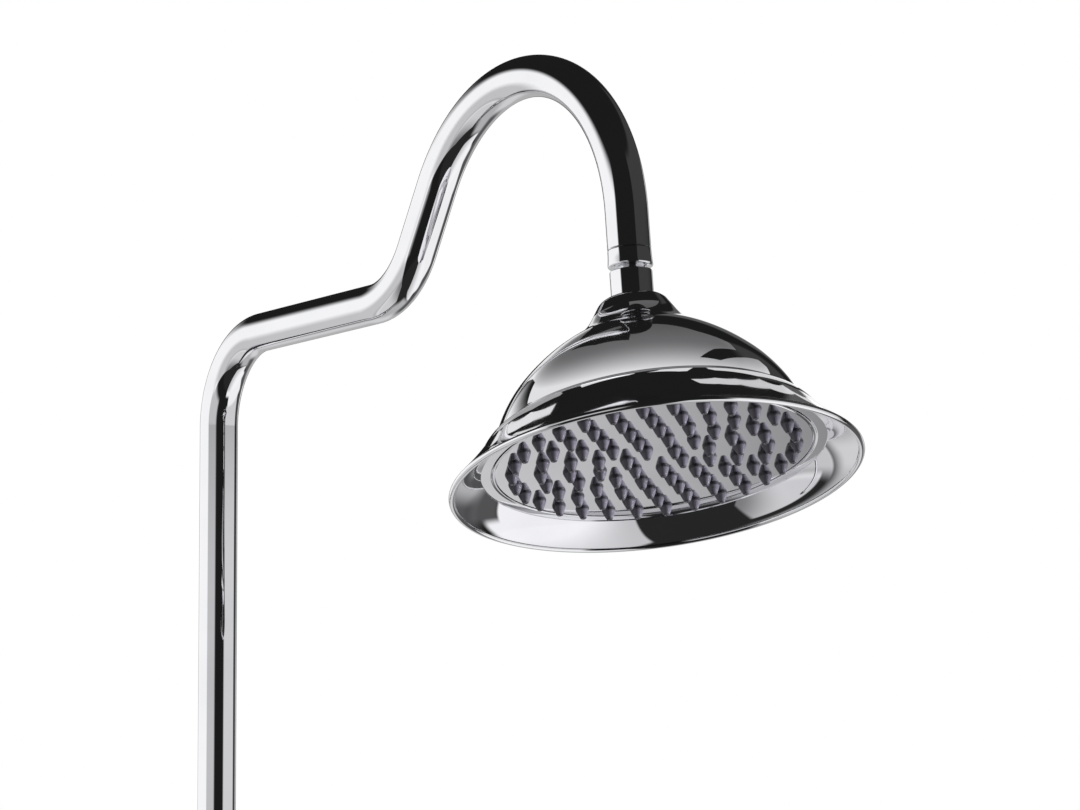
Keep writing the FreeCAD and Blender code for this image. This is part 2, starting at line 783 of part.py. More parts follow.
PIECES = {
    "riser_tube": riser_tube,
    "arm_nipple": arm_nipple,
    "swivel_ball": swivel_ball,
    "seal_washer": seal_washer,
    "filter_screen": filter_screen,
    "flow_regulator": flow_regulator,
    "ball_bush": ball_bush,
    "ball_housing": ball_housing,
    "ball_seat": ball_seat,
    "seat_ring": seat_ring,
    "feed_tube": feed_tube,
    "feed_washer": feed_washer,
    "bell_shell": bell_shell,
    "lip_ring": lip_ring,
    "face_plate": face_plate,
    "nozzle_mat": nozzle_mat,
    "chamber_lid": chamber_lid,
    "chamber_packing": chamber_packing,
    "face_screws": face_screws,
    "wall_plate": wall_plate,
    "bracket_stem": bracket_stem,
    "grub_screw": grub_screw,
    "cover_flange": cover_flange,
    "cover_ring": cover_ring,
    "clamp_cap": clamp_cap,
    "clamp_screws": clamp_screws,
    "clamp_liner": clamp_liner,
    "foot_collar": foot_collar_ring,
    "union_nut": union_nut,
    "union_washer": union_washer_ring,
}


def main():
    """Build each piece and write it to its own file."""
    os.makedirs("parts", exist_ok=True)
    for name, build in PIECES.items():
        shape = build()
        shape.exportStep("parts/" + name + ".step")
        box = shape.optimalBoundingBox(False)
        print("%-16s solids %2d valid %s volume %10.1f  y %7.1f %7.1f  z %7.1f %7.1f" % (
            name, len(shape.Solids), shape.isValid(), shape.Volume,
            box.YMin, box.YMax, box.ZMin, box.ZMax))
    print("ball centre", ball_at)
    print("stem up", stem_up)
    print("head up", head_up)


main()
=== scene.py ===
"""Looks of the gooseneck shower column: polished tube, swivel ball, bell head and wall bracket.

Every new surface is worked out as whole numpy arrays in millimetres and set into the CAD frame, whose
ball centre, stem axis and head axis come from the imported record.
"""
import math

import bmesh
import bpy
import json
import numpy as np
from bpy.props import FloatProperty, FloatVectorProperty, IntProperty, PointerProperty
from mathutils import Matrix, Vector


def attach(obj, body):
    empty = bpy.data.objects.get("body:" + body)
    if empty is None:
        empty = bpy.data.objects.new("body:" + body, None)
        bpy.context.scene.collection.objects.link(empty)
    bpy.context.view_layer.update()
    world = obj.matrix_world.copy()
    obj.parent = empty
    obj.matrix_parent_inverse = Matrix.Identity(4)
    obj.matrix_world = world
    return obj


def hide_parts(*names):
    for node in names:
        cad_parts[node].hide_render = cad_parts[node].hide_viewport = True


bl_info = {
    "name": "Shower column",
    "version": (1, 0, 0),
    "blender": (4, 5, 0),
    "location": "View3D > Sidebar > Shower column",
    "description": "Builds the visible surfaces of a gooseneck shower column on its CAD frame",
    "category": "Object",
}

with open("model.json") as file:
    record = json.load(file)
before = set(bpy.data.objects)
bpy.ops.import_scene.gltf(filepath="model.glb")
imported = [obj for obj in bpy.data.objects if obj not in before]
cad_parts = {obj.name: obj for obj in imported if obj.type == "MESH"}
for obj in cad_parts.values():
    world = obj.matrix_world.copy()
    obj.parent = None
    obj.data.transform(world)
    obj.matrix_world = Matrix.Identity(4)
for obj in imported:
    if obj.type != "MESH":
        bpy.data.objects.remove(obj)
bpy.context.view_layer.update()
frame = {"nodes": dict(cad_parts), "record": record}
JOINTS = {joint["name"]: joint for joint in frame["record"]["behaviour"]["joints"]}
BALL = np.array(JOINTS["head_spin"]["pos_m"])
STEM_UP = np.array(JOINTS["swivel_azimuth"]["axis"])
HEAD_UP = np.array(JOINTS["head_spin"]["axis"])
WALL_OUT = np.array(JOINTS["cover_slide"]["axis"])
MM = 0.001
FULL = 2 * math.pi
WHITE = (1.0, 1.0, 1.0, 1.0)
FACE_UP = 10.0  # rolled edge's centre up to the front of the face
MAT_UP = 3.0  # front of the face up to the front of the mat
MOUTH_R = 85.86  # lip ring's inner edge, round the face
BELL_TURNS = 240  # facets round the bell and its lip ring
BELL_TOP = (12.4, 5.1)
BELL_MOVES = {
    "neck": [(0.8,), (5.9, -59), (6.9,)],
    "dome": [(35.0, 30), (110.0, -18), (69.5, -23.6), (1.5, 43.6)],
    "bead": [(17.0, -36)],
    "lip": [(1.2, 13), (157.0, 9)],
}


# ---------------------------------------------------------------- sizes and colours
def length(label, note, value):
    """Property for a length given in millimetres."""
    return FloatProperty(name=label, description=note, default=value * MM, unit="LENGTH", precision=5)


def colour(label, note, value):
    """Property for a surface colour."""
    return FloatVectorProperty(name=label, description=note, default=value, subtype="COLOR",
                               min=0.0, max=1.0)


class TubeSizes(bpy.types.PropertyGroup):
    """Sizes of the riser and the gooseneck."""
    radius: length("Tube radius", "Outer radius of the riser", 11.0)
    wall: length("Tube wall", "Thickness of the tube's wall", 1.5)
    standoff: length("Standoff", "Wall face to riser axis", 65.0)
    above: length("Above bracket", "Bracket axis up to the first bend", 260.0)
    below: length("Below bracket", "Bracket axis down to the tube's foot", 590.0)
    bend: length("Bend radius", "Radius of the two lower bends", 50.0)
    run: length("Outward run", "Straight run away from the wall", 122.0)
    rise: length("Rise", "Straight rise to the arch", 38.0)
    arch: length("Arch radius", "Radius of the gooseneck's arch", 95.0)
    drop: length("Drop", "Straight end above the nipple", 20.0)


class HeadSizes(bpy.types.PropertyGroup):
    """Sizes of the rain head."""
    wall: length("Bell wall", "Thickness of the spun bell", 1.2)
    curl: length("Rolled edge", "Radius of the rolled edge", 1.6)
    pitch: length("Nozzle pitch", "Radius step from one ring of nozzles to the next", 14.1)
    nozzle: length("Nozzle base", "Radius of a nozzle where it leaves the face", 3.4)
    collar: length("Nozzle collar", "Straight part of a nozzle below the face", 0.7)
    waist: length("Nozzle waist", "Radius where a nozzle's taper changes", 2.45)
    waist_at: length("Waist depth", "Face down to the nozzle's waist", 3.1)
    tip: length("Nozzle tip", "Radius of a nozzle's tip", 1.4)
    stand: length("Nozzle length", "How far a nozzle stands out of the face", 5.4)
    rings: IntProperty(name="Nozzle rings", description="Number of rings of nozzles", default=5, min=1)


class Finishes(bpy.types.PropertyGroup):
    """Colours of the finishes."""
    chrome: colour("Chrome", "Polished chrome plate", (0.90, 0.90, 0.925))
    steel: colour("Polished steel", "Face and lip ring", (0.90, 0.90, 0.935))
    nozzle: colour("Nozzles", "Soft dark nozzles", (0.050, 0.047, 0.060))
    rubber: colour("Rubber", "Seals", (0.018, 0.018, 0.019))
    brass: colour("Brass", "Turned brass", (0.70, 0.50, 0.22))
    bright: colour("Bright steel", "Screws and screen", (0.56, 0.56, 0.58))
    white: colour("White plastic", "Seat, bush and regulator", (0.80, 0.80, 0.78))
    black: colour("Black plastic", "Chamber and liner", (0.022, 0.022, 0.025))


class Studio(bpy.types.PropertyGroup):
    """Light and backdrop."""
    ambient: FloatProperty(name="Ambient", description="World light on matt surfaces", default=0.35,
                           min=0.0)
    key: FloatProperty(name="Key lamp", description="Power of the large lamp", default=9.0, min=0.0,
                       unit="POWER")
    fill: FloatProperty(name="Fill lamp", description="Power of the low lamp at the right", default=260.0,
                        min=0.0, unit="POWER")


# ---------------------------------------------------------------- shader writing
class Link:
    """A shader socket; arithmetic on it adds Math nodes to its tree."""

    def __init__(self, shader, socket):
        self.shader = shader
        self.socket = socket

    def _math(self, operation, *values):
        settings = {"operation": operation}
        return self.shader.node("ShaderNodeMath", settings, dict(enumerate(values)))[0]

    def __add__(self, other):
        return self._math("ADD", self, other)

    def __sub__(self, other):
        return self._math("SUBTRACT", self, other)

    def __rsub__(self, other):
        return self._math("SUBTRACT", other, self)

    def __mul__(self, other):
        return self._math("MULTIPLY", self, other)

    def __truediv__(self, other):
        return self._math("DIVIDE", self, other)

    __radd__ = __add__
    __rmul__ = __mul__

    def at_least(self, other):
        """This value, or the other where that is larger."""
        return self._math("MAXIMUM", self, other)

    def at_most(self, other):
        """This value, or the other where that is smaller."""
        return self._math("MINIMUM", self, other)

    def step(self, low, high):
        """0 below low, 1 above high, smooth between."""
        values = {"Value": self, "From Min": low, "From Max": high}
        settings = {"interpolation_type": "SMOOTHSTEP"}
        return self.shader.node("ShaderNodeMapRange", settings, values)[0]

    def inside(self, low, high, soft):
        """1 between low and high with soft edges of the given width, 0 outside."""
        return self.step(low - soft / 2, low + soft / 2) * (1 - self.step(high - soft / 2, high + soft / 2))

    def blend(self, first, second):
        """Colour that goes from first to second as this value goes from 0 to 1."""
        values = {"Factor": self, 6: first, 7: second}
        return self.shader.node("ShaderNodeMix", {"data_type": "RGBA"}, values)[2]


class Shader:
    """A material or world under construction."""

    def __init__(self, owner):
        owner.use_nodes = True
        self.owner = owner
        self.tree = owner.node_tree
        self.tree.nodes.clear()

    def node(self, kind, settings=None, values=None):
        """Add a node: its settings come first, then a value or link for each named socket."""
        made = self.tree.nodes.new(kind)
        for key, value in (settings or {}).items():
            setattr(made, key, value)
        for key, value in (values or {}).items():
            if isinstance(value, Link):
                self.tree.links.new(value.socket, made.inputs[key])
            else:
                made.inputs[key].default_value = value
        return [Link(self, socket) for socket in made.outputs]

    def noise(self, scale, detail, place, rough=0.5):
        """Fractal noise of a number of waves per metre, from 0 to 1."""
        values = {"Vector": place, "Scale": scale, "Detail": detail, "Roughness": rough}
        return self.node("ShaderNodeTexNoise", None, values)[0]

    def place(self):
        """Object coordinates."""
        return self.node("ShaderNodeTexCoord")[3]

    def stretched(self, scale):
        """Object coordinates scaled along each axis."""
        return self.node("ShaderNodeMapping", None, {"Vector": self.place(), "Scale": scale})[0]

    def bump(self, height, strength, distance):
        """Normal from a height."""
        values = {"Height": height, "Strength": strength, "Distance": distance}
        return self.node("ShaderNodeBump", None, values)[0]

    def surface(self, **sockets):
        """Principled surface with the given sockets, as the output."""
        values = {key.replace("_", " "): value for key, value in sockets.items()}
        shade = self.node("ShaderNodeBsdfPrincipled", None, values)[0]
        self.node("ShaderNodeOutputMaterial", None, {"Surface": shade})


def rgba(value, gain=1.0):
    """Colour property as four numbers, brightened by gain."""
    return (value[0] * gain, value[1] * gain, value[2] * gain, 1.0)


def plated(name, tint, dullest):
    """Bright plated metal: clear reflections, faint haze where it was wiped, a trace of waviness."""
    shader = Shader(bpy.data.materials.new(name))
    place = shader.place()
    haze = shader.noise(38.0, 4.0, place)
    wipes = shader.noise(9.0, 5.0, shader.stretched((1.0, 1.0, 5.0)), 0.6)
    smear = (haze * wipes).step(0.16, 0.42)
    shader.surface(Base_Color=smear.blend(rgba(tint), rgba(tint, 0.965)), Metallic=1.0,
                   Roughness=smear * dullest + 0.018,
                   Normal=shader.bump(shader.noise(22.0, 1.0, place), 0.06, 0.0004))
    return shader.owner


def polished_face(name, tint):
    """Polished steel like plated(), with a fine groove pressed round the face near its edge."""
    shader = Shader(bpy.data.materials.new(name))
    place = shader.place()
    wave = shader.bump(shader.noise(22.0, 1.0, place), 0.06, 0.0004)
    spot = shader.node("ShaderNodeVectorMath", {"operation": "SUBTRACT"}, {0: place, 1: tuple(BALL)})[0]
    spoke = shader.node("ShaderNodeVectorMath", {"operation": "CROSS_PRODUCT"},
                        {0: spot, 1: tuple(HEAD_UP)})[0]
    radius = shader.node("ShaderNodeVectorMath", {"operation": "LENGTH"}, {0: spoke})[1] / MM
    inner, outer, soft = 78.9, 80.5, 1.2
    groove = radius.inside(inner, outer, soft)
    pressed = shader.node("ShaderNodeBump", None, {"Height": 1 - groove, "Strength": 1.0,
                                                   "Distance": 0.0006, "Normal": wave})[0]
    smear = shader.noise(38.0, 4.0, place).step(0.35, 0.75)
    shader.surface(Base_Color=smear.blend(rgba(tint), rgba(tint, 0.965)), Metallic=1.0,
                   Roughness=smear * 0.03 + 0.018, Normal=pressed)
    return shader.owner


def turned(name, tint, dull, grooves):
    """Machined metal with fine rings of tool marks and uneven tarnish."""
    shader = Shader(bpy.data.materials.new(name))
    marks = shader.noise(grooves, 2.0, shader.stretched((0.12, 0.12, 1.0)))
    stain = shader.noise(60.0, 4.0, shader.place())
    shader.surface(Base_Color=stain.step(0.35, 0.7).blend(rgba(tint), rgba(tint, 0.82)), Metallic=1.0,
                   Roughness=marks * 0.18 + dull, Normal=shader.bump(marks, 0.25, 0.00006))
    return shader.owner


def moulded(name, tint, dull, grain):
    """Moulded plastic or rubber: fine grain, a little bloom, soft gloss."""
    shader = Shader(bpy.data.materials.new(name))
    place = shader.place()
    skin = shader.noise(grain, 3.0, place)
    bloom = shader.noise(70.0, 3.0, place).step(0.4, 0.75)
    shader.surface(Base_Color=bloom.blend(rgba(tint), rgba(tint, 1.35)), Metallic=0.0,
                   Roughness=skin * 0.16 + dull, Normal=shader.bump(skin, 0.3, 0.00008))
    return shader.owner


def nozzle_silicone(name, tint):
    """Soft silicone: fine grain and gloss, with painted shade where a nozzle leaves the face and at its
    tip.
    """
    shader = Shader(bpy.data.materials.new(name))
    place = shader.place()
    skin = shader.noise(700.0, 3.0, place)
    level = shader.node("ShaderNodeVectorMath", {"operation": "DOT_PRODUCT"},
                        {0: place, 1: tuple(HEAD_UP)})[1]
    face = float(BALL @ HEAD_UP) + face_height(bpy.context.scene.column_head) * MM
    depth = (face - level) / MM
    below_root, above_tip, soft = 1.0, 4.9, 0.7
    # painted shade: outside this band, at the root by the face and at the tip, the colour drops to 0.45 of
    # the tint
    lit = depth.inside(below_root, above_tip, soft)
    shader.surface(Base_Color=lit.blend(rgba(tint, 0.45), rgba(tint)), Metallic=0.0,
                   Roughness=skin * 0.16 + 0.24, Normal=shader.bump(skin, 0.3, 0.00008))
    return shader.owner


def finish_for(slot):
    """Material of a record slot, made once."""
    made = bpy.data.materials.get("finish_" + slot)
    if made:
        return made
    tints = bpy.context.scene.column_finishes
    name = "finish_" + slot
    return {
        "chrome": lambda: plated(name, tints.chrome, 0.05),
        "mirror_steel": lambda: polished_face(name, tints.steel),
        "rubber": lambda: moulded(name, tints.rubber, 0.55, 900.0),
        "nozzle_rubber": lambda: nozzle_silicone(name, tints.nozzle),
        "steel": lambda: turned(name, tints.bright, 0.2, 2600.0),
        "brass": lambda: turned(name, tints.brass, 0.16, 2200.0),
        "white_plastic": lambda: moulded(name, tints.white, 0.38, 800.0),
        "black_plastic": lambda: moulded(name, tints.black, 0.34, 1100.0),
    }[slot]()


# ---------------------------------------------------------------- surfaces
def walk(start, heading, moves, fine=2.0):
    """Points and headings along straight and curved moves that join without a corner.

    A move is (length,) or (radius, turn in degrees, positive to the left). An arc of radius R about its
    centre c is c + R (sin h, -cos h) for a left turn, and the opposite for a right one, as the heading h
    runs over the turn; it gets a point every `fine` degrees.
    """
    points = [np.array([start], float)]
    headings = [np.array([math.radians(heading)])]
    for move in moves:
        here = points[-1][-1]
        bearing = headings[-1][-1]
        if len(move) == 1:
            points.append((here + move[0] * np.array([math.cos(bearing), math.sin(bearing)]))[None])
            headings.append(np.array([bearing]))
            continue
        radius, turn = move
        steps = max(3, int(abs(turn) / fine) + 1)
        sweep = bearing + math.radians(turn) * np.linspace(0, 1, steps + 1)
        side = math.copysign(radius, turn)
        wheel = np.stack([np.sin(sweep), -np.cos(sweep)], 1) * side
        points.append((here + wheel - wheel[0])[1:])
        headings.append(sweep[1:])
    return np.concatenate(points), np.concatenate(headings)


def corner(turn, radius=0.35):
    """Move that rounds a corner of the given turn in degrees."""
    return (radius, turn)


def eased(corners, fine=20.0):
    """Points and headings of a polyline whose corners are rounded.

    A corner is (r, z, ease). The straight runs p to q are cut back by ease tan(turn / 2) at each rounded
    corner, and an arc of radius ease joins them.
    """
    spots = np.array([corner[:2] for corner in corners], float)
    steps = np.diff(spots, axis=0)
    bearing = np.degrees(np.unwrap(np.arctan2(steps[:, 1], steps[:, 0])))
    reach = np.linalg.norm(steps, axis=1)
    turn = np.diff(bearing)
    cut = np.zeros(len(spots))
    cut[1:-1] = [max(corner[2], 0.01) for corner in corners[1:-1]] * np.tan(np.radians(abs(turn)) / 2)
    moves = []
    for index, run in enumerate(reach - cut[:-1] - cut[1:]):
        moves.append((run,))
        if index < len(turn):
            moves.append((max(corners[index + 1][2], 0.01), turn[index]))
    return walk(corners[0][:2], bearing[0], moves, fine)


def turning_to(axis):
    """Rotation matrix that brings +Z onto an axis by the shortest way."""
    return np.array(Vector((0, 0, 1)).rotation_difference(Vector(axis)).to_matrix())


def lathe(points, headings, turns, side=1.0):
    """Grid of a profile spun about Z: (r cos t, r sin t, z), with its normals.

    The normal is the profile's tangent turned a quarter left (side 1) or right (side -1).
    """
    angle = np.linspace(0, FULL, turns, endpoint=False)
    round_x, round_y = np.cos(angle), np.sin(angle)
    normal_r = -np.sin(headings) * side
    normal_z = np.cos(headings) * side
    places = np.stack([points[:, :1] * round_x, points[:, :1] * round_y,
                       np.repeat(points[:, 1:], turns, 1)], -1)
    normals = np.stack([normal_r[:, None] * round_x, normal_r[:, None] * round_y,
                        np.repeat(normal_z[:, None], turns, 1)], -1)
    return places, normals


def measured_normals(places):
    """Normals of a grid from its own slopes, along the rows and round the columns."""
    along = np.gradient(places, axis=0)
    across = np.roll(places, -1, 1) - np.roll(places, 1, 1)
    normals = np.cross(across, along)
    return normals / np.maximum(np.linalg.norm(normals, axis=-1, keepdims=True), 1e-12)


def grid_faces(rows, columns, closed, first=0):
    """Corner numbers of the quads of a grid whose columns go round, and whose rows may too."""
    last = rows if closed else rows - 1
    row = np.arange(last)[:, None]
    column = np.arange(columns)[None]
    below = (row + 1) % rows * columns
    right = (column + 1) % columns
    quads = np.stack([row * columns + column, row * columns + right, below + right, below + column], -1)
    return quads.reshape(-1, 4) + first


def piece(name, grids, slot, body, stands_for, closed=True):
    """Mesh object in metres made of grids of places and normals, riding on a body of the frame.

    Each quad is wound so that it faces the way its normals do.
    """
    places, normals, faces = [], [], []
    first = 0
    for grid, normal in grids:
        rows, columns = grid.shape[:2]
        quads = grid_faces(rows, columns, closed, first)
        flat = grid.reshape(-1, 3)
        corners = flat[quads - first]
        facing = np.cross(corners[:, 2] - corners[:, 0], corners[:, 3] - corners[:, 1])
        wanted = normal.reshape(-1, 3)[quads - first].sum(1)
        if (facing * wanted).sum() < 0:
            quads = quads[:, ::-1]
        places.append(flat)
        normals.append(normal.reshape(-1, 3))
        faces.append(quads)
        first += len(flat)
    places, normals, faces = np.concatenate(places), np.concatenate(normals), np.concatenate(faces)
    mesh = bpy.data.meshes.new(name)
    mesh.from_pydata(places.tolist(), [], faces.tolist())
    mesh.polygons.foreach_set("use_smooth", np.ones(len(faces), bool))
    mesh.normals_split_custom_set_from_vertices(normals.tolist())
    mesh.update()
    return dress(bpy.data.objects.new(name, mesh), slot, body, stands_for)


def dress(thing, slot, body, stands_for):
    """Link an object, give it its finish, and fix it to its body in place of the CAD nodes."""
    bpy.context.scene.collection.objects.link(thing)
    thing.data.materials.clear()
    thing.data.materials.append(finish_for(slot))
    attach(thing, body)
    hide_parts(*stands_for)
    return thing


def placed(grid, axis, origin):
    """Grid and normals, in millimetres about Z, turned onto an axis and moved to an origin in metres."""
    turn = turning_to(axis)
    places, normals = grid
    return places @ turn.T * MM + origin, normals @ turn.T


def eased_copy(name, node, slot, body, width):
    """Copy of a CAD node with its doubles merged, flat faces joined and its edges eased."""
    mesh = frame["nodes"][node].data.copy()
    mesh.name = name
    shape = bmesh.new()
    shape.from_mesh(mesh)
    bmesh.ops.remove_doubles(shape, verts=shape.verts, dist=2e-6)
    bmesh.ops.dissolve_limit(shape, angle_limit=math.radians(0.3), verts=shape.verts,
                             edges=shape.edges)
    for face in shape.faces:
        face.smooth = True
    for edge in shape.edges:
        edge.smooth = len(edge.link_faces) == 2 and edge.calc_face_angle(0.0) < math.radians(28)
    shape.to_mesh(mesh)
    shape.free()
    thing = bpy.data.objects.new(name, mesh)
    ease = thing.modifiers.new("eased edges", "BEVEL")
    ease.width = width * MM
    ease.segments = 3
    ease.limit_method = "ANGLE"
    ease.angle_limit = math.radians(28)
    ease.harden_normals = True
    return dress(thing, slot, body, [node])


# ---------------------------------------------------------------- tube and arm
def riser_tube(sizes):
    """Double-walled tube: the circle c + R (cos a X + sin a N) carried along the bent axis.

    X is the row's X axis and N lies in the arm's plane, square to the axis. The route runs up the outer
    skin, turns in over the end and runs back down the bore. The three bends turn the axis out from the
    wall, up into the rise, and over the arch.
    """
    mm = 1 / MM
    outward, upward, over = -90, 58, -142
    bend, fine = sizes.bend * mm, 1.5
    moves = [((sizes.below + sizes.above) * mm,), (bend, outward), (sizes.run * mm,), (bend, upward),
             (sizes.rise * mm,), (sizes.arch * mm, over), (sizes.drop * mm,)]
    route, heading = walk((0.0, -sizes.below * mm), 90.0, moves, fine)
    skin, bore, ease = sizes.radius * mm, (sizes.radius - sizes.wall) * mm, 0.45
    quarter = np.radians(np.linspace(0, 90, 5))
    trim = ease * (1 - np.sin(quarter))
    rim_r = skin - ease + ease * np.cos(quarter)
    lip_r = bore + ease - ease * np.cos(quarter)
    count = len(route)
    ends = {"top": (route[-1], heading[-1], -1.0), "foot": (route[0], heading[0], 1.0)}
    rows = [(route[1:-1], heading[1:-1], np.full(count - 2, skin), np.zeros(count - 2))]
    for which, (point, bearing, back) in ends.items():
        along = back * np.array([math.cos(bearing), math.sin(bearing)])
        level = np.full(len(quarter), bearing)
        outer = (point + trim[:, None] * along, level, rim_r, -back * quarter)
        inner = (point + trim[::-1, None] * along, level, lip_r[::-1],
                 back * (quarter[::-1] - math.pi))
        if which == "top":
            rows += [outer, inner]
            rows.append((route[-2:0:-1], heading[-2:0:-1], np.full(count - 2, bore),
                         np.full(count - 2, math.pi)))
        else:
            rows += [tuple(part[::-1] for part in inner), tuple(part[::-1] for part in outer)]
    centre = np.concatenate([row[0] for row in rows])
    bearing = np.concatenate([row[1] for row in rows])
    radius = np.concatenate([row[2] for row in rows])
    lean = np.concatenate([row[3] for row in rows])
    angle = np.linspace(0, FULL, 96, endpoint=False)
    axis_x = np.array([1.0, 0.0, 0.0])
    in_plane = np.stack([np.zeros(len(centre)), np.sin(bearing), np.cos(bearing)], -1)
    forward = np.stack([np.zeros(len(centre)), -np.cos(bearing), np.sin(bearing)], -1)
    spoke = np.cos(angle)[None, :, None] * axis_x + np.sin(angle)[None, :, None] * in_plane[:, None]
    middle = np.stack([np.zeros(len(centre)), -sizes.standoff * mm - centre[:, 0],
                       centre[:, 1]], -1)
    places = (middle[:, None] + radius[:, None, None] * spoke) * MM
    normals = np.cos(lean)[:, None, None] * spoke - np.sin(lean)[:, None, None] * forward[:, None]
    return places, normals


def arm_nipple():
    """Flared collar over a helical thread.

    The thread is r + d tri(z / p - t / 2 pi), where tri is a triangle wave rounded at crest and root.
    """
    turns = 160
    bore, foot, thread_top, plug_top, plug_r = 5.5, 10.0, 23.0, 43.5, 9.45
    crest, depth, pitch = 8.33, 0.86, 1.337
    flare, bend = walk((11.02, 30.9), -90.0, [(0.05,), (60.0, 4.5), (2.6,), (1.0, -94.5), (1.9,)], 3)
    angle = np.linspace(0, FULL, turns, endpoint=False)
    level = np.linspace(thread_top, foot, 170)[:, None]
    phase = (level / pitch - angle / FULL) % 1.0
    wave = np.abs(2 * phase - 1)
    tooth = 0.5 - 0.5 * np.cos(math.pi * np.clip(1.25 * wave - 0.125, 0, 1))
    inside = np.array([[bore, foot], [bore, plug_top], [plug_r, plug_top], [plug_r, 31.4], [10.5, 31.38],
                       [10.8, 31.25]])
    radius = np.concatenate([np.repeat(flare[:, :1], turns, 1), crest - depth * (1 - tooth),
                             np.repeat(inside[:, :1], turns, 1)])
    height = np.concatenate([np.repeat(flare[:, 1:], turns, 1), level + 0 * angle,
                             np.repeat(inside[:, 1:], turns, 1)])
    places = np.stack([radius * np.cos(angle), radius * np.sin(angle), height], -1)
    normals = measured_normals(places)
    rows = len(flare)
    exact = lathe(flare, bend, turns, -1.0)[1]
    if (exact[0] * normals[0]).sum() < 0:
        exact = -exact
    normals[:rows] = exact
    return places, normals


def swivel_ball():
    """Barrel with eased mouth, blended into the ball; spun profile of radius against height."""
    ball, barrel, cut, top_end = 12.75, 10.75, 10.0, 20.5
    waterway, bush_r, ledge, shelf, shelf_r = 4.5, 6.55, 4.0, 8.0, 8.38
    ease, mouth_ease, land, recess = 0.4, 0.6, 1.2, 12.0
    neck = math.sqrt(ball ** 2 - barrel ** 2)
    low = math.degrees(math.asin(cut / ball))
    high = math.degrees(math.asin(neck / ball))
    foot_r = math.sqrt(ball ** 2 - cut ** 2)
    skin, bearing = walk((waterway, ledge), -90.0, [
        (ledge + cut - ease,), corner(90, ease), (foot_r - waterway - 2 * ease,),
        corner(90 - low, ease)], 5)
    sweep = np.radians(np.linspace(-low, high, 40))
    round_part = ball * np.stack([np.cos(sweep), np.sin(sweep)], 1)
    top, lean = walk((barrel, neck + 0.15), 90.0, [
        (top_end - neck - 0.15 - mouth_ease,), corner(90, mouth_ease), (land,), corner(90, 0.3),
        (recess,)], 6)
    points = np.concatenate([skin, round_part, top, [[shelf_r, shelf], [bush_r, shelf],
                                                     [bush_r, ledge]]])
    headings = np.concatenate([bearing, sweep + math.pi / 2, lean,
                               np.radians([180.0, 180.0, 270.0])])
    return lathe(points, headings, 192, -1.0)


# ---------------------------------------------------------------- head
def bell_skins(sizes):
    """Points and headings of the bell's outer skin part by part, the lip's down to its rolled edge."""
    skins = {}
    place, heading = BELL_TOP, 0.0
    for part, moves in BELL_MOVES.items():
        curl = [(sizes.curl / MM, -215)] if part == "lip" else []
        points, headings = walk(place, heading, moves + curl, 1.5)
        skins[part] = points, headings
        place, heading = points[-1], math.degrees(headings[-1])
    return skins


def spun_sheet(skin, heading, wall):
    """Spun sheet metal: an outer skin and its lining, the lining one wall to the right of the skin."""
    right = np.stack([np.sin(heading), -np.cos(heading)], 1)
    lining = (skin + wall * right)[::-1]
    points = np.concatenate([skin, lining])
    return lathe(points, np.concatenate([heading, heading[::-1] + math.pi]), BELL_TURNS)


def bell_curl(sizes):
    """Centre of the bell's rolled edge in radius and height."""
    end, heading = walk(BELL_TOP, 0.0, sum(BELL_MOVES.values(), []), 1.5)
    return end[-1] + sizes.curl / MM * np.array([math.sin(heading[-1]), -math.cos(heading[-1])])


def face_height(sizes):
    """Height of the face's front, below the ball's centre."""
    return bell_curl(sizes)[1] + FACE_UP


def lip_ring(sizes):
    """Flared inner wall of the lip: an arc bowed a little from its chord, a ledge edge, a plain back."""
    curl = bell_curl(sizes)
    face = face_height(sizes)
    mouth = np.array([MOUTH_R, face - 0.4])
    foot = curl - np.array([1.7, 0.0])
    chord = foot - mouth
    span = np.linalg.norm(chord)
    slope = math.degrees(math.atan2(chord[1], chord[0]))
    bow = 0.8
    radius = (span ** 2 / 4 + bow ** 2) / (2 * bow)
    half = math.degrees(math.asin(span / 2 / radius))
    points, heading = walk(mouth, slope - half, [(radius, 2 * half)], 0.25)
    edge = np.array([[MOUTH_R, face], [MOUTH_R, face - 0.2]])
    back = np.array([[foot[0] + 0.4, foot[1] + 0.9], [MOUTH_R + 3.0, face + 0.4], [MOUTH_R + 2.0, face]])
    points = np.concatenate([edge, points, back])
    heading = np.concatenate([np.radians([-90.0, -90.0]), heading,
                              np.radians([75.0, 150.0, 180.0])])
    return lathe(points, heading, BELL_TURNS, -1.0)


def nozzle_field(sizes):
    """Soft nozzles on rings of 6, 12, 18 and so on, each a spun double cone with eased corners."""
    root, bore, bore_top, first_angle = 2.8, 0.5, 1.0, 38.4
    face = face_height(sizes)
    end = face - sizes.stand / MM
    profile, heading = eased([
        (sizes.nozzle / MM, face + root, 0), (sizes.nozzle / MM, face - sizes.collar / MM, 0.5),
        (sizes.waist / MM, face - sizes.waist_at / MM, 1.2), (sizes.tip / MM, end, 0.6),
        (bore, end, 0.15), (bore, face - bore_top, 0.0), (0.02, face - bore_top, 0)], 25)
    places, normals = lathe(profile, heading, 20, -1.0)
    spots = []
    for ring in range(1, sizes.rings + 1):
        angle = math.radians(first_angle) + FULL * np.arange(6 * ring) / (6 * ring)
        spots.append(ring * sizes.pitch / MM * np.stack([np.cos(angle), np.sin(angle)], 1))
    grids = []
    for spot in np.concatenate(spots):
        grids.append((places + np.array([spot[0], spot[1], 0.0]), normals))
    return grids


def mat_disc(sizes):
    """Mat behind the face: a thin disc with an eased edge."""
    face = face_height(sizes) + MAT_UP
    margin, thick, ease, turns = 5.0, 1.4, 0.3, 96
    radius = sizes.rings * sizes.pitch / MM + margin
    profile, heading = walk((0.02, face), 0.0, [
        (radius,), corner(90, ease), (thick,), corner(90, ease), (radius,)], 15)
    return lathe(profile, heading, turns, -1.0)


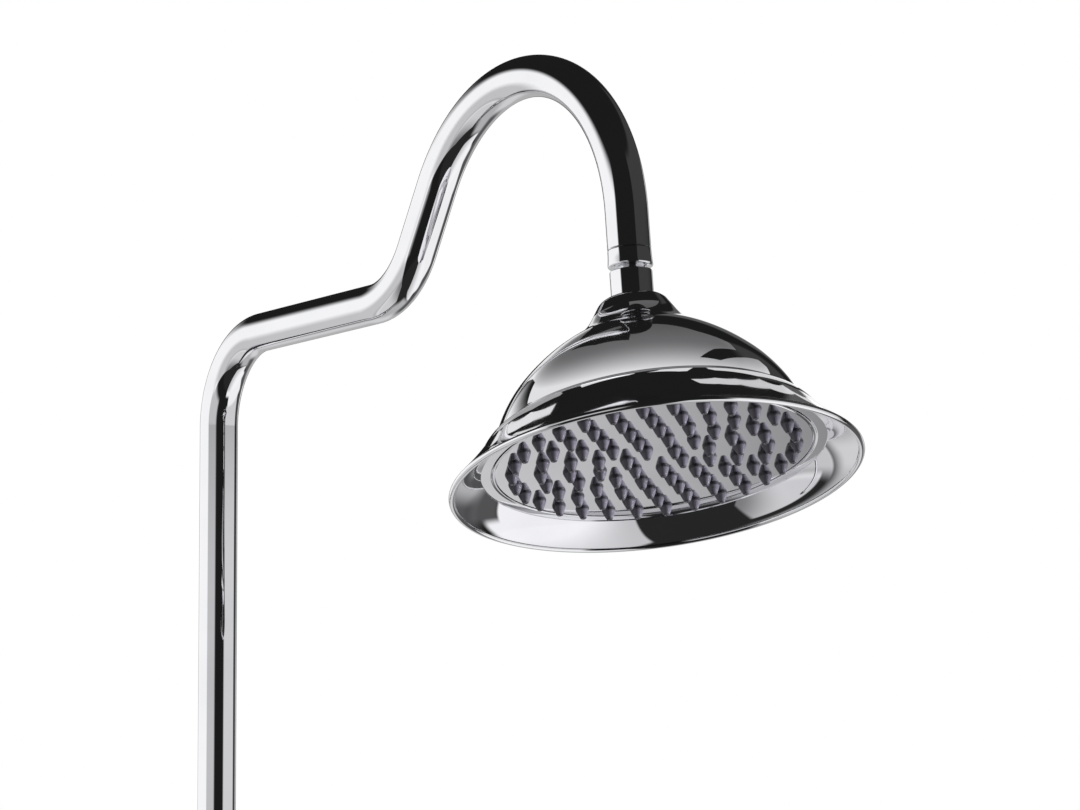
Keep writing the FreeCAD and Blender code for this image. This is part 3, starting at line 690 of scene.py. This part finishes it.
# ---------------------------------------------------------------- bracket cover
def cover_flange():
    """Domed cover over the wall plate: a skirt, a quarter dome, a flat nose and the lining behind."""
    end, nose, outer, wall, hole = 25.6, 12.0, 32.0, 1.4, 8.3
    dome = outer - nose
    skin, bearing = walk((outer - wall + 0.3, 0.1), 0.0, [
        (wall - 0.6,), corner(90, 0.3), (end - dome - 0.4,), (dome, 90), (nose - hole - 0.4,),
        corner(90, 0.4), (3.2,), corner(90, 0.4), (7.0,)], 2.5)
    lining = dome - wall
    tilt = np.radians(np.linspace(58, 0, 20))
    inner = np.stack([nose + lining * np.cos(tilt), end - dome + lining * np.sin(tilt)], 1)
    points = np.concatenate([skin, inner, [[outer - wall, 0.3]]])
    headings = np.concatenate([bearing, tilt - math.pi / 2, [-math.pi / 2]])
    return lathe(points, headings, 160, -1.0)


# ---------------------------------------------------------------- operators
class COLUMN_OT_tube(bpy.types.Operator):
    """Bend the riser and gooseneck tube"""
    bl_idname = "column.tube"
    bl_label = "Riser and gooseneck"

    def execute(self, context):
        grid = riser_tube(context.scene.column_tube)
        piece("gooseneck", [grid], "chrome", "column", ["riser_tube"])
        return {"FINISHED"}


class COLUMN_OT_stem(bpy.types.Operator):
    """Turn the threaded nipple and the swivel ball"""
    bl_idname = "column.stem"
    bl_label = "Nipple and swivel ball"

    def execute(self, context):
        nipple = placed(arm_nipple(), STEM_UP, BALL)
        piece("nipple", [nipple], "chrome", "column", ["arm_nipple"])
        ball = placed(swivel_ball(), STEM_UP, BALL)
        piece("barrel_and_ball", [ball], "chrome", "column", ["swivel_ball"])
        return {"FINISHED"}


class COLUMN_OT_bell(bpy.types.Operator):
    """Spin the bell and its lip ring"""
    bl_idname = "column.bell"
    bl_label = "Bell and lip"

    def execute(self, context):
        sizes = context.scene.column_head
        for part, (skin, heading) in bell_skins(sizes).items():
            sheet = placed(spun_sheet(skin, heading, sizes.wall / MM), HEAD_UP, BALL)
            piece("bell_" + part, [sheet], "chrome", "head", ["bell_shell"])
        lip = placed(lip_ring(sizes), HEAD_UP, BALL)
        piece("lip_inside", [lip], "mirror_steel", "head", ["lip_ring"])
        return {"FINISHED"}


class COLUMN_OT_nozzles(bpy.types.Operator):
    """Mould the mat with its nozzles"""
    bl_idname = "column.nozzles"
    bl_label = "Nozzles"

    def execute(self, context):
        sizes = context.scene.column_head
        grids = nozzle_field(sizes) + [mat_disc(sizes)]
        grids = [placed(grid, HEAD_UP, BALL) for grid in grids]
        piece("nozzles", grids, "nozzle_rubber", "head", ["nozzle_mat"], closed=False)
        return {"FINISHED"}


class COLUMN_OT_bracket(bpy.types.Operator):
    """Make the wall bracket's cover, clamp and screws, and the union nut"""
    bl_idname = "column.bracket"
    bl_label = "Bracket and union"

    def execute(self, context):
        cover = placed(cover_flange(), WALL_OUT, np.zeros(3))
        piece("cover_dome", [cover], "chrome", "cover", ["cover_flange"])
        eased_copy("clamp_rear", "bracket_stem", "chrome", "column", 0.5)
        eased_copy("clamp_front", "clamp_cap", "chrome", "column", 0.5)
        eased_copy("clamp_bolts", "clamp_screws", "steel", "column", 0.2)
        eased_copy("hex_union", "union_nut", "chrome", "nut", 0.3)
        eased_copy("plate_on_wall", "wall_plate", "chrome", "column", 0.3)
        return {"FINISHED"}


class COLUMN_OT_finishes(bpy.types.Operator):
    """Give each remaining CAD node the finish of its slot"""
    bl_idname = "column.finishes"
    bl_label = "Finishes"

    def execute(self, context):
        slots = {part["node"]: part["material_slot"] for part in frame["record"]["subparts"]}
        for node, thing in frame["nodes"].items():
            finish = finish_for(slots[node])
            for holder in thing.material_slots:
                holder.material = finish
            if not thing.material_slots:
                thing.data.materials.append(finish)
        return {"FINISHED"}


# ---------------------------------------------------------------- stage
CARDS = (
    # azimuth from +Y towards +X, low and high; elevation, low and high; soft width of the sides and
    # of the ends; brightness
    (-132.0, -84.0, -24.0, 9.0, 10.0, 10.0, 0.55),
    (-91.0, 6.0, -47.0, -17.0, 3.0, 12.0, 0.58),
    (-84.0, 10.0, -17.0, 22.0, 8.0, 14.0, 1.0),
    (10.0, 66.0, -22.0, 2.0, 14.0, 14.0, 0.45),
    (10.0, 66.0, -72.0, -44.0, 14.0, 14.0, 0.45),
    (10.0, 43.0, -44.0, -22.0, 14.0, 14.0, 0.58),
    (10.0, 66.0, -44.0, -22.0, 14.0, 14.0, 0.085),
    (35.0, 47.0, 7.0, 17.0, 4.0, 4.0, 0.95),
    (34.0, 52.0, 17.0, 28.0, 4.0, 4.0, 0.09),
    (66.0, 88.0, -38.0, 6.0, 8.0, 8.0, 0.08),
    (76.0, 190.0, -47.0, -38.0, 6.0, 6.0, 0.95),
    (-190.0, -172.0, -47.0, -38.0, 4.0, 6.0, 0.95),
    (88.0, 166.0, -38.0, -22.0, 3.0, 6.0, 0.95),
    (98.0, 172.0, -22.0, 8.0, 8.0, 6.0, 0.66),
    (62.0, 175.0, 14.0, 48.0, 5.0, 8.0, 0.036),
    (60.0, 68.0, -8.0, 18.0, 5.0, 5.0, 0.80),
)
LOW_CARDS = (
    # straight edges, each by the bearing square to it, its distance and its softness; bearing, start
    # and end of the fade; brightness before and after it
    (((114.2, 0.182, 0.018), (142.5, 0.145, 0.040)), (114.2, 0.182, 0.632), (0.57, 1.04)),
    (((-29.5, 0.207, 0.026), (-90.0, 0.05, 0.030), (0.0, -0.02, 0.020)), (0.0, 0.0, 0.4), (0.20, 0.64)),
)
LOW = -47.0
FLOOR_GREY = 0.009  # the floor's own, under its cards
DARK = 0.012  # the room's, between the cards


def low_card(x, y, edges, fade, bright):
    """Brightness of a card on the floor; an edge of bearing b and distance d lets in x sin b + y cos b > d.

    x and y are the direction's own, so straight down is 0, 0 and the horizon is at 1.
    """
    def along(bearing):
        angle = math.radians(bearing)
        return x * math.sin(angle) + y * math.cos(angle)

    level = along(fade[0]).step(fade[1], fade[2]) * (bright[1] - bright[0]) + bright[0]
    for bearing, distance, soft in edges:
        level = level * along(bearing).step(distance - soft / 2, distance + soft / 2)
    return level


def studio_world(settings):
    """White to the camera; to polished metal a dark room with soft bright cards set round it.

    Below the LOW elevation the cards are those that lie on the floor.
    """
    shader = Shader(bpy.data.worlds.new("studio"))
    direction = shader.node("ShaderNodeTexCoord")[0]
    x, y, z = shader.node("ShaderNodeSeparateXYZ", None, {0: direction})
    azimuth = shader.node("ShaderNodeMath", {"operation": "ARCTAN2"}, {0: x, 1: y})[0] * (180 / math.pi)
    height = shader.node("ShaderNodeMath", {"operation": "ARCSINE"}, {0: z})[0] * (180 / math.pi)
    level = azimuth * 0.0 + DARK
    for west, east, low, high, blur, fade, bright in CARDS:
        level = level + azimuth.inside(west, east, blur) * height.inside(low, high, fade) * bright
    floor = FLOOR_GREY
    for card in LOW_CARDS:
        floor = low_card(x, y, *card) + floor
    level = level + (1 - height.step(LOW - 3.0, LOW + 3.0)) * floor
    ray = shader.node("ShaderNodeLightPath")
    camera, diffuse = ray[0], ray[2]
    grey = level.blend((0.0, 0.0, 0.0, 1.0), WHITE)
    room = shader.node("ShaderNodeBackground", None, {"Color": grey, "Strength": 1.0})[0]
    plain = shader.node("ShaderNodeBackground", None, {"Color": WHITE, "Strength": settings.ambient})[0]
    white = shader.node("ShaderNodeBackground", None, {"Color": WHITE, "Strength": 1.0})[0]
    lit = shader.node("ShaderNodeMixShader", None, {0: diffuse, 1: room, 2: plain})[0]
    seen = shader.node("ShaderNodeMixShader", None, {0: camera, 1: lit, 2: white})[0]
    shader.node("ShaderNodeOutputWorld", None, {"Surface": seen})
    bpy.context.scene.world = shader.owner


def floor_material():
    """Pale floor: white to the camera, shaded where the column keeps light off it, clear in mirrors."""
    shader = Shader(bpy.data.materials.new("pale_floor"))
    ray = shader.node("ShaderNodeLightPath")
    camera, glossy = ray[0], ray[3]
    mottle = shader.noise(3.0, 3.0, shader.place())
    paint = mottle.step(0.2, 0.8).blend((0.93, 0.93, 0.93, 1.0), (0.96, 0.96, 0.96, 1.0))
    matt = shader.node("ShaderNodeBsdfDiffuse", None, {"Color": paint})[0]
    glow = shader.node("ShaderNodeEmission", None, {"Color": WHITE, "Strength": 0.55})[0]
    lit = shader.node("ShaderNodeAddShader", None, {0: matt, 1: glow})[0]
    clear = shader.node("ShaderNodeBsdfTransparent")[0]
    shown = shader.node("ShaderNodeMixShader", None, {0: camera, 1: matt, 2: lit})[0]
    mixed = shader.node("ShaderNodeMixShader", None, {0: glossy, 1: shown, 2: clear})[0]
    shader.node("ShaderNodeOutputMaterial", None, {"Surface": mixed})
    return shader.owner


def lamp(name, place, size, power):
    """Large soft area lamp that looks at the head and stays out of reflections."""
    data = bpy.data.lights.new(name, "AREA")
    data.shape = "SQUARE"
    data.size = size
    data.energy = power
    thing = bpy.data.objects.new(name, data)
    thing.location = place
    aim = Vector((0.0, -0.3, 0.1)) - Vector(place)
    thing.rotation_euler = aim.to_track_quat("-Z", "Y").to_euler()
    thing.visible_glossy = False
    thing.visible_camera = False
    bpy.context.scene.collection.objects.link(thing)


HUNG_CARDS = (
    # the sheet that mirrors it; brightness; corners with x towards the front and y to the right
    ("bell_dome", None,
     ((20, 240), (120, 225), (240, 120), (240, -120), (120, -240), (-40, -280), (-60, -190),
      (-120, -175), (-320, -170), (-320, -60), (-230, -42), (-120, -55), (-44, -78), (-4, -56),
      (8, -27), (24, -27), (19, -58), (-12, -98), (60, -68), (98, -25), (28, -14), (37, 67),
      (30, 105), (50, 122), (104, 92), (155, 78), (135, 113), (72, 138), (-5, 162), (-20, 185))),
    ("bell_bead", 0.75,
     ((-420, -36), (-100, -62), (72, -92), (66, -12), (115, 30), (112, 40), (-147, 42), (-420, 52))),
    ("bell_bead", 0.68,
     ((-420, 60), (-172, 51), (-20, 53), (52, 60), (78, 72), (45, 135), (-43, 166), (-201, 187),
      (-420, 165))),
    ("bell_bead", 0.35,
     ((-60, -98), (30, -116), (58, -132), (16, -205), (-110, -240), (-310, -260), (-622, -143),
      (-346, -93))),
    ("bell_lip", 0.62,
     ((91, 40), (73, 68), (46, 91), (-8, 122), (-113, 148), (-335, 167), (-465, 171), (-170, 151),
      (-42, 123), (28, 92), (57, 69), (76, 48))),
    ("bell_lip", 0.80,
     ((14, -123), (-70, -158), (-215, -182), (-420, -184), (-420, -170), (-315, -172), (-215, -165),
      (-125, -152), (-70, -140), (-18, -121))),
    ("bell_lip", 0.70,
     ((-58, -119), (-160, -151), (-385, -168), (-440, -165), (-195, -147), (-120, -130))),
)
HUNG_AT = Vector((0.045, 0.066, 0.1))  # from the ball's centre to the middle of the cards
HUNG_TURN = -124.35  # turns the cards' x towards the camera
HUNG_STEP = 0.0003  # each card hangs this much above the one before
DIM_REACH = 0.111  # metres from the middle of the dome's card


def dome_glow(distance):
    """Brightness of the dome's card: dim to DIM_REACH from its middle, then up with the square beyond."""
    beyond = (distance - DIM_REACH).at_least(0.0)
    return (distance * 0.65 + beyond * beyond * 59.3 + 0.067).at_most(0.81)


def hung_card(number, mirror, bright, corners):
    """Glowing card level above the head that only one sheet of the bell mirrors."""
    name = f"hung card {number}"
    mesh = bpy.data.meshes.new(name)
    mesh.from_pydata([(x * MM, y * MM, 0.0) for x, y in corners], [], [range(len(corners))])
    shader = Shader(bpy.data.materials.new(name))
    if bright is None:
        distance = shader.node("ShaderNodeVectorMath", {"operation": "LENGTH"}, {0: shader.place()})[1]
        glow = dome_glow(distance)
    else:
        glow = (bright, bright, bright, 1.0)
    light = shader.node("ShaderNodeEmission", None, {"Color": glow, "Strength": 1.0})[0]
    clear = shader.node("ShaderNodeBsdfTransparent")[0]
    both = shader.node("ShaderNodeAddShader", None, {0: light, 1: clear})[0]
    shader.node("ShaderNodeOutputMaterial", None, {"Surface": both})
    mesh.materials.append(shader.owner)
    card = bpy.data.objects.new(name, mesh)
    card.location = Vector(BALL) + HUNG_AT + Vector((0.0, 0.0, HUNG_STEP * number))
    card.rotation_euler = (0.0, 0.0, math.radians(HUNG_TURN))
    card.visible_camera = card.visible_diffuse = card.visible_transmission = card.visible_shadow = False
    lit = bpy.data.collections.new("mirrors " + name)
    lit.objects.link(bpy.data.objects[mirror])
    card.light_linking.receiver_collection = lit
    bpy.context.scene.collection.objects.link(card)


def place_camera():
    """Camera at the photograph's place and aim: azimuth from +Y towards +X, pitch up and roll."""
    data = bpy.data.cameras.new("camera")
    data.lens = 133.333
    data.sensor_width = 36.0
    data.clip_end = 50.0
    azimuth, pitch, roll = math.radians(34.345), math.radians(7.546), math.radians(-0.261)
    flat = Vector((math.sin(azimuth), math.cos(azimuth), 0.0))
    right = Vector((math.cos(azimuth), -math.sin(azimuth), 0.0))
    ahead = math.cos(pitch) * flat + math.sin(pitch) * Vector((0, 0, 1))
    above = -math.sin(pitch) * flat + math.cos(pitch) * Vector((0, 0, 1))
    across = math.cos(roll) * right + math.sin(roll) * above
    above = -math.sin(roll) * right + math.cos(roll) * above
    pose = Matrix((across, above, -ahead)).transposed().to_4x4()
    pose.translation = Vector((-1.1504, -2.0804, -0.0339))
    view = bpy.data.objects.new("camera", data)
    view.matrix_world = pose
    bpy.context.scene.collection.objects.link(view)
    bpy.context.scene.camera = view


class COLUMN_OT_stage(bpy.types.Operator):
    """Set the floor, light and camera"""
    bl_idname = "column.stage"
    bl_label = "Stage"

    def execute(self, context):
        scene = context.scene
        settings = scene.column_studio
        studio_world(settings)
        side, level = 6.0, -1.75
        floor = bpy.data.meshes.new("floor")
        floor.from_pydata([(-side, -side, level), (side, -side, level), (side, side, level),
                           (-side, side, level)], [], [(0, 1, 2, 3)])
        floor.materials.append(floor_material())
        thing = bpy.data.objects.new("floor", floor)
        scene.collection.objects.link(thing)
        for number, card in enumerate(HUNG_CARDS):
            hung_card(number, *card)
        lamp("key", (-1.6, -1.9, 1.6), 1.6, settings.key)
        lamp("fill", (1.6, -1.5, -0.25), 0.9, settings.fill)
        place_camera()
        scene.view_settings.view_transform = "Standard"
        return {"FINISHED"}


class COLUMN_PT_panel(bpy.types.Panel):
    """Sidebar panel with the column's steps and values"""
    bl_idname = "COLUMN_PT_panel"
    bl_label = "Shower column"
    bl_space_type = "VIEW_3D"
    bl_region_type = "UI"
    bl_category = "Shower column"

    def draw(self, context):
        for step in STEPS:
            self.layout.operator(step.bl_idname)
        for group in GROUPS:
            box = self.layout.box()
            values = getattr(context.scene, group)
            for key in values.bl_rna.properties.keys():
                if key not in ("rna_type", "name"):
                    box.prop(values, key)


STEPS = (COLUMN_OT_tube, COLUMN_OT_stem, COLUMN_OT_bell, COLUMN_OT_nozzles, COLUMN_OT_bracket,
         COLUMN_OT_finishes, COLUMN_OT_stage)
GROUPS = {"column_tube": TubeSizes, "column_head": HeadSizes, "column_finishes": Finishes,
          "column_studio": Studio}


def register():
    for kind in (*GROUPS.values(), *STEPS, COLUMN_PT_panel):
        bpy.utils.register_class(kind)
    for name, kind in GROUPS.items():
        setattr(bpy.types.Scene, name, PointerProperty(type=kind))


def unregister():
    for name in GROUPS:
        delattr(bpy.types.Scene, name)
    for kind in reversed((*GROUPS.values(), *STEPS, COLUMN_PT_panel)):
        bpy.utils.unregister_class(kind)


def main():
    """Run every step in order."""
    register()
    for step in STEPS:
        group, name = step.bl_idname.split(".")
        getattr(getattr(bpy.ops, group), name)()


if __name__ == "__main__":
    main()
